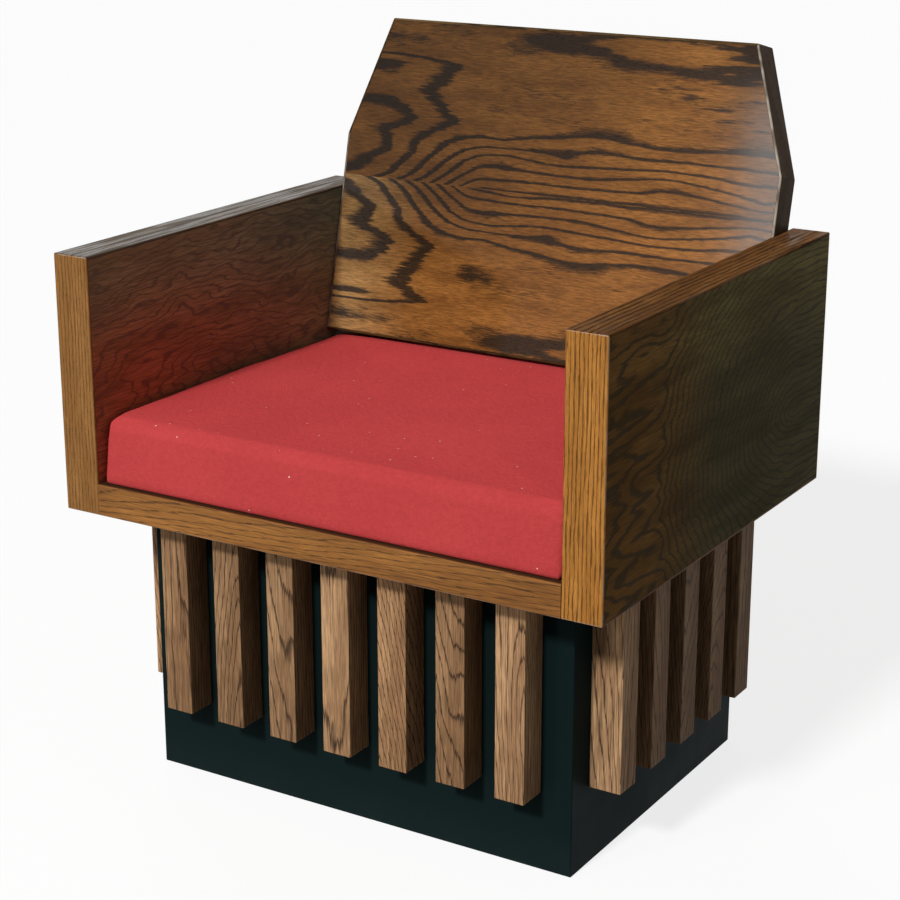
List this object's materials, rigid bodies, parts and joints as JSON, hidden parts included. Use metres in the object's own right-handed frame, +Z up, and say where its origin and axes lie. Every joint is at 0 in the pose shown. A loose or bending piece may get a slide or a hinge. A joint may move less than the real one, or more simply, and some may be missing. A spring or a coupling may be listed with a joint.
{
  "type": "celebrant chair",
  "caption": "Box-armed celebrant chair of lipped oak panels with a reclined shouldered back and a loose red cushion, on a dark plinth faced with upright oak slats.",
  "frame": {"origin": "on the floor, at the centre of the chair's overall box", "axes": "+Z up; the chair faces -Y; +X is to the right of someone who looks at its front"},
  "size_m": [0.711, 0.6044, 0.8638],
  "materials": {
    "oak_veneer": "figured oak veneer, stained and satin lacquered",
    "oak_lipping": "solid oak, straight grain, satin lacquered",
    "oak_slat": "solid oak, planed, low sheen",
    "plinth_paint": "painted near black, eggshell",
    "plywood": "plain plywood",
    "pine": "sawn softwood",
    "red_fabric": "plain woven upholstery cloth"
  },
  "bodies": {
    "frame": {"back_bottom_lipping": "oak_lipping", "back_core": "oak_veneer", "back_left_lipping": "oak_lipping", "back_left_shoulder_lipping": "oak_lipping", "back_right_lipping": "oak_lipping", "back_right_shoulder_lipping": "oak_lipping", "back_top_lipping": "oak_lipping", "front_fixing_batten": "pine", "front_left_glue_block": "pine", "front_rail": "oak_lipping", "front_right_glue_block": "pine", "front_slat_1": "oak_slat", "front_slat_2": "oak_slat", "front_slat_3": "oak_slat", "front_slat_4": "oak_slat", "front_slat_5": "oak_slat", "front_slat_6": "oak_slat", "front_slat_7": "oak_slat", "left_arm_bottom_lipping": "oak_lipping", "left_arm_core": "oak_veneer", "left_arm_front_lipping": "oak_lipping", "left_arm_rear_lipping": "oak_lipping", "left_arm_top_lipping": "oak_lipping", "left_back_cleat": "oak_slat", "left_fixing_batten": "pine", "left_slat_1": "oak_slat", "left_slat_2": "oak_slat", "left_slat_3": "oak_slat", "left_slat_4": "oak_slat", "left_slat_5": "oak_slat", "plinth_front_board": "plinth_paint", "plinth_left_board": "plinth_paint", "plinth_rear_board": "plinth_paint", "plinth_right_board": "plinth_paint", "rear_fixing_batten": "pine", "rear_left_glue_block": "pine", "rear_rail": "oak_lipping", "rear_right_glue_block": "pine", "rear_slat_1": "oak_slat", "rear_slat_2": "oak_slat", "rear_slat_3": "oak_slat", "rear_slat_4": "oak_slat", "rear_slat_5": "oak_slat", "rear_slat_6": "oak_slat", "rear_slat_7": "oak_slat", "right_arm_bottom_lipping": "oak_lipping", "right_arm_core": "oak_veneer", "right_arm_front_lipping": "oak_lipping", "right_arm_rear_lipping": "oak_lipping", "right_arm_top_lipping": "oak_lipping", "right_back_cleat": "oak_slat", "right_fixing_batten": "pine", "right_slat_1": "oak_slat", "right_slat_2": "oak_slat", "right_slat_3": "oak_slat", "right_slat_4": "oak_slat", "right_slat_5": "oak_slat", "seat_panel": "plywood"},
    "cushion": {"seat_cushion": "red_fabric"}
  },
  "joints": [
    {"name": "cushion_draw", "type": "slide", "parent": "frame", "child": "cushion", "axis": [0, -0.9848, 0.1736], "range_m": [0, 0.53]}
  ]
}
